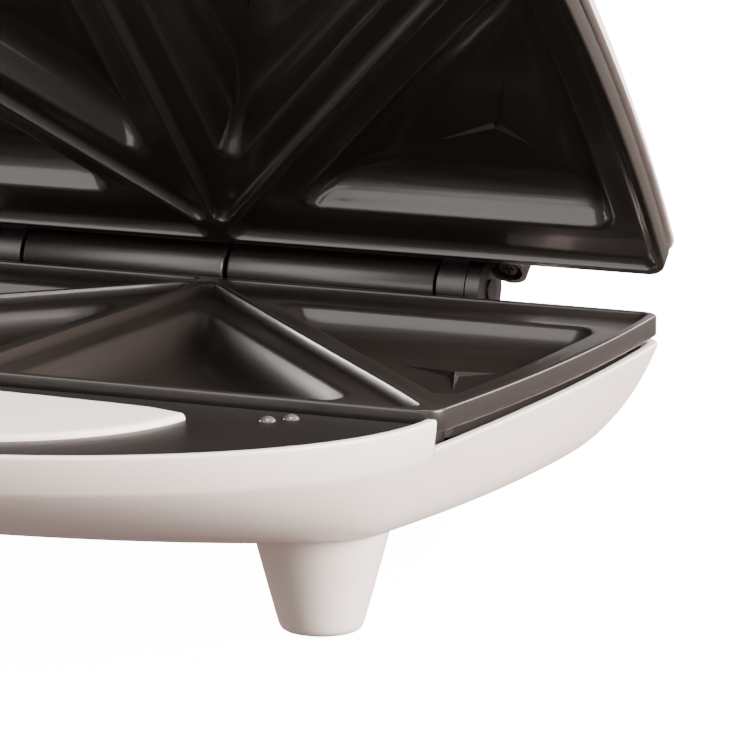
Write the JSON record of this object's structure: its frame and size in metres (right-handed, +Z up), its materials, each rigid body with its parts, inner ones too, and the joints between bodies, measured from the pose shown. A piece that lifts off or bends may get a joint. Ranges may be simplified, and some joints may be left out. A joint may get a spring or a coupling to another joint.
{
  "type": "sandwich toaster",
  "caption": "Countertop sandwich toaster with a hinged domed lid, non-stick triangular pocket plates, a curved white body with a grip pad and tapered feet.",
  "frame": {"origin": "centre of the part's box at table level, under the feet", "axes": "+X to the right seen from the front, +Y to the hinge at the back, +Z up"},
  "size_m": [0.234, 0.2338, 0.2204],
  "materials": {
    "white_shell": "smooth semi-gloss moulded plastic, warm white",
    "black_panel": "fine satin moulded plastic, black",
    "black_frame": "glossy heat-resistant moulded plastic, black",
    "cooking_plate": "die-cast aluminium with a dark brown-black non-stick coating, satin gloss",
    "lens": "clear moulded indicator lens",
    "neon": "small neon lamp",
    "steel": "zinc-plated steel",
    "element_tube": "oxidised tubular heating element sheath",
    "reflector": "bright rolled aluminium sheet",
    "ceramic": "glazed ceramic and phenolic",
    "wire": "silicone and glass-fibre wire sleeve",
    "foot_rubber": "moulded rubber, black"
  },
  "bodies": {
    "base": {"base_shell": "white_shell", "front_panel": "black_panel", "grip_pad": "white_shell", "indicator_lens_left": "lens", "indicator_lens_right": "lens", "neon_lamps": "neon", "base_frame": "black_frame", "base_plate": "cooking_plate", "base_element": "element_tube", "base_element_clamps": "steel", "base_clamp_screws": "steel", "base_reflector": "reflector", "base_plate_screws": "steel", "thermostat": "ceramic", "thermal_fuse": "steel", "terminal_block": "ceramic", "base_wiring": "wire", "cord_gland": "black_frame", "foot_front_left": "white_shell", "foot_front_right": "white_shell", "foot_back_left": "white_shell", "foot_back_right": "white_shell", "foot_pads": "foot_rubber", "foot_screws": "steel", "hinge_pin_left": "steel", "hinge_pin_right": "steel"},
    "lid": {"lid_shell": "white_shell", "lid_front_panel": "black_panel", "lid_frame": "black_frame", "hinge_cover_left": "black_frame", "hinge_cover_right": "black_frame", "lid_plate": "cooking_plate", "lid_element": "element_tube", "lid_element_clamps": "steel", "lid_clamp_screws": "steel", "lid_reflector": "reflector", "lid_plate_screws": "steel", "lid_frame_screws": "steel", "lid_wiring": "wire", "latch_pin": "steel"},
    "latch": {"latch_clip": "white_shell"}
  },
  "joints": [
    {"name": "lid_hinge", "type": "hinge", "parent": "base", "child": "lid", "pos_m": [0, 0.1007, 0.0484], "axis": [-1, 0, 0], "range_deg": [-46.3, 56]},
    {"name": "latch_pivot", "type": "hinge", "parent": "lid", "child": "latch", "pos_m": [0, -0.04275, 0.21589], "axis": [-1, 0, 0], "range_deg": [-35, 40]}
  ]
}
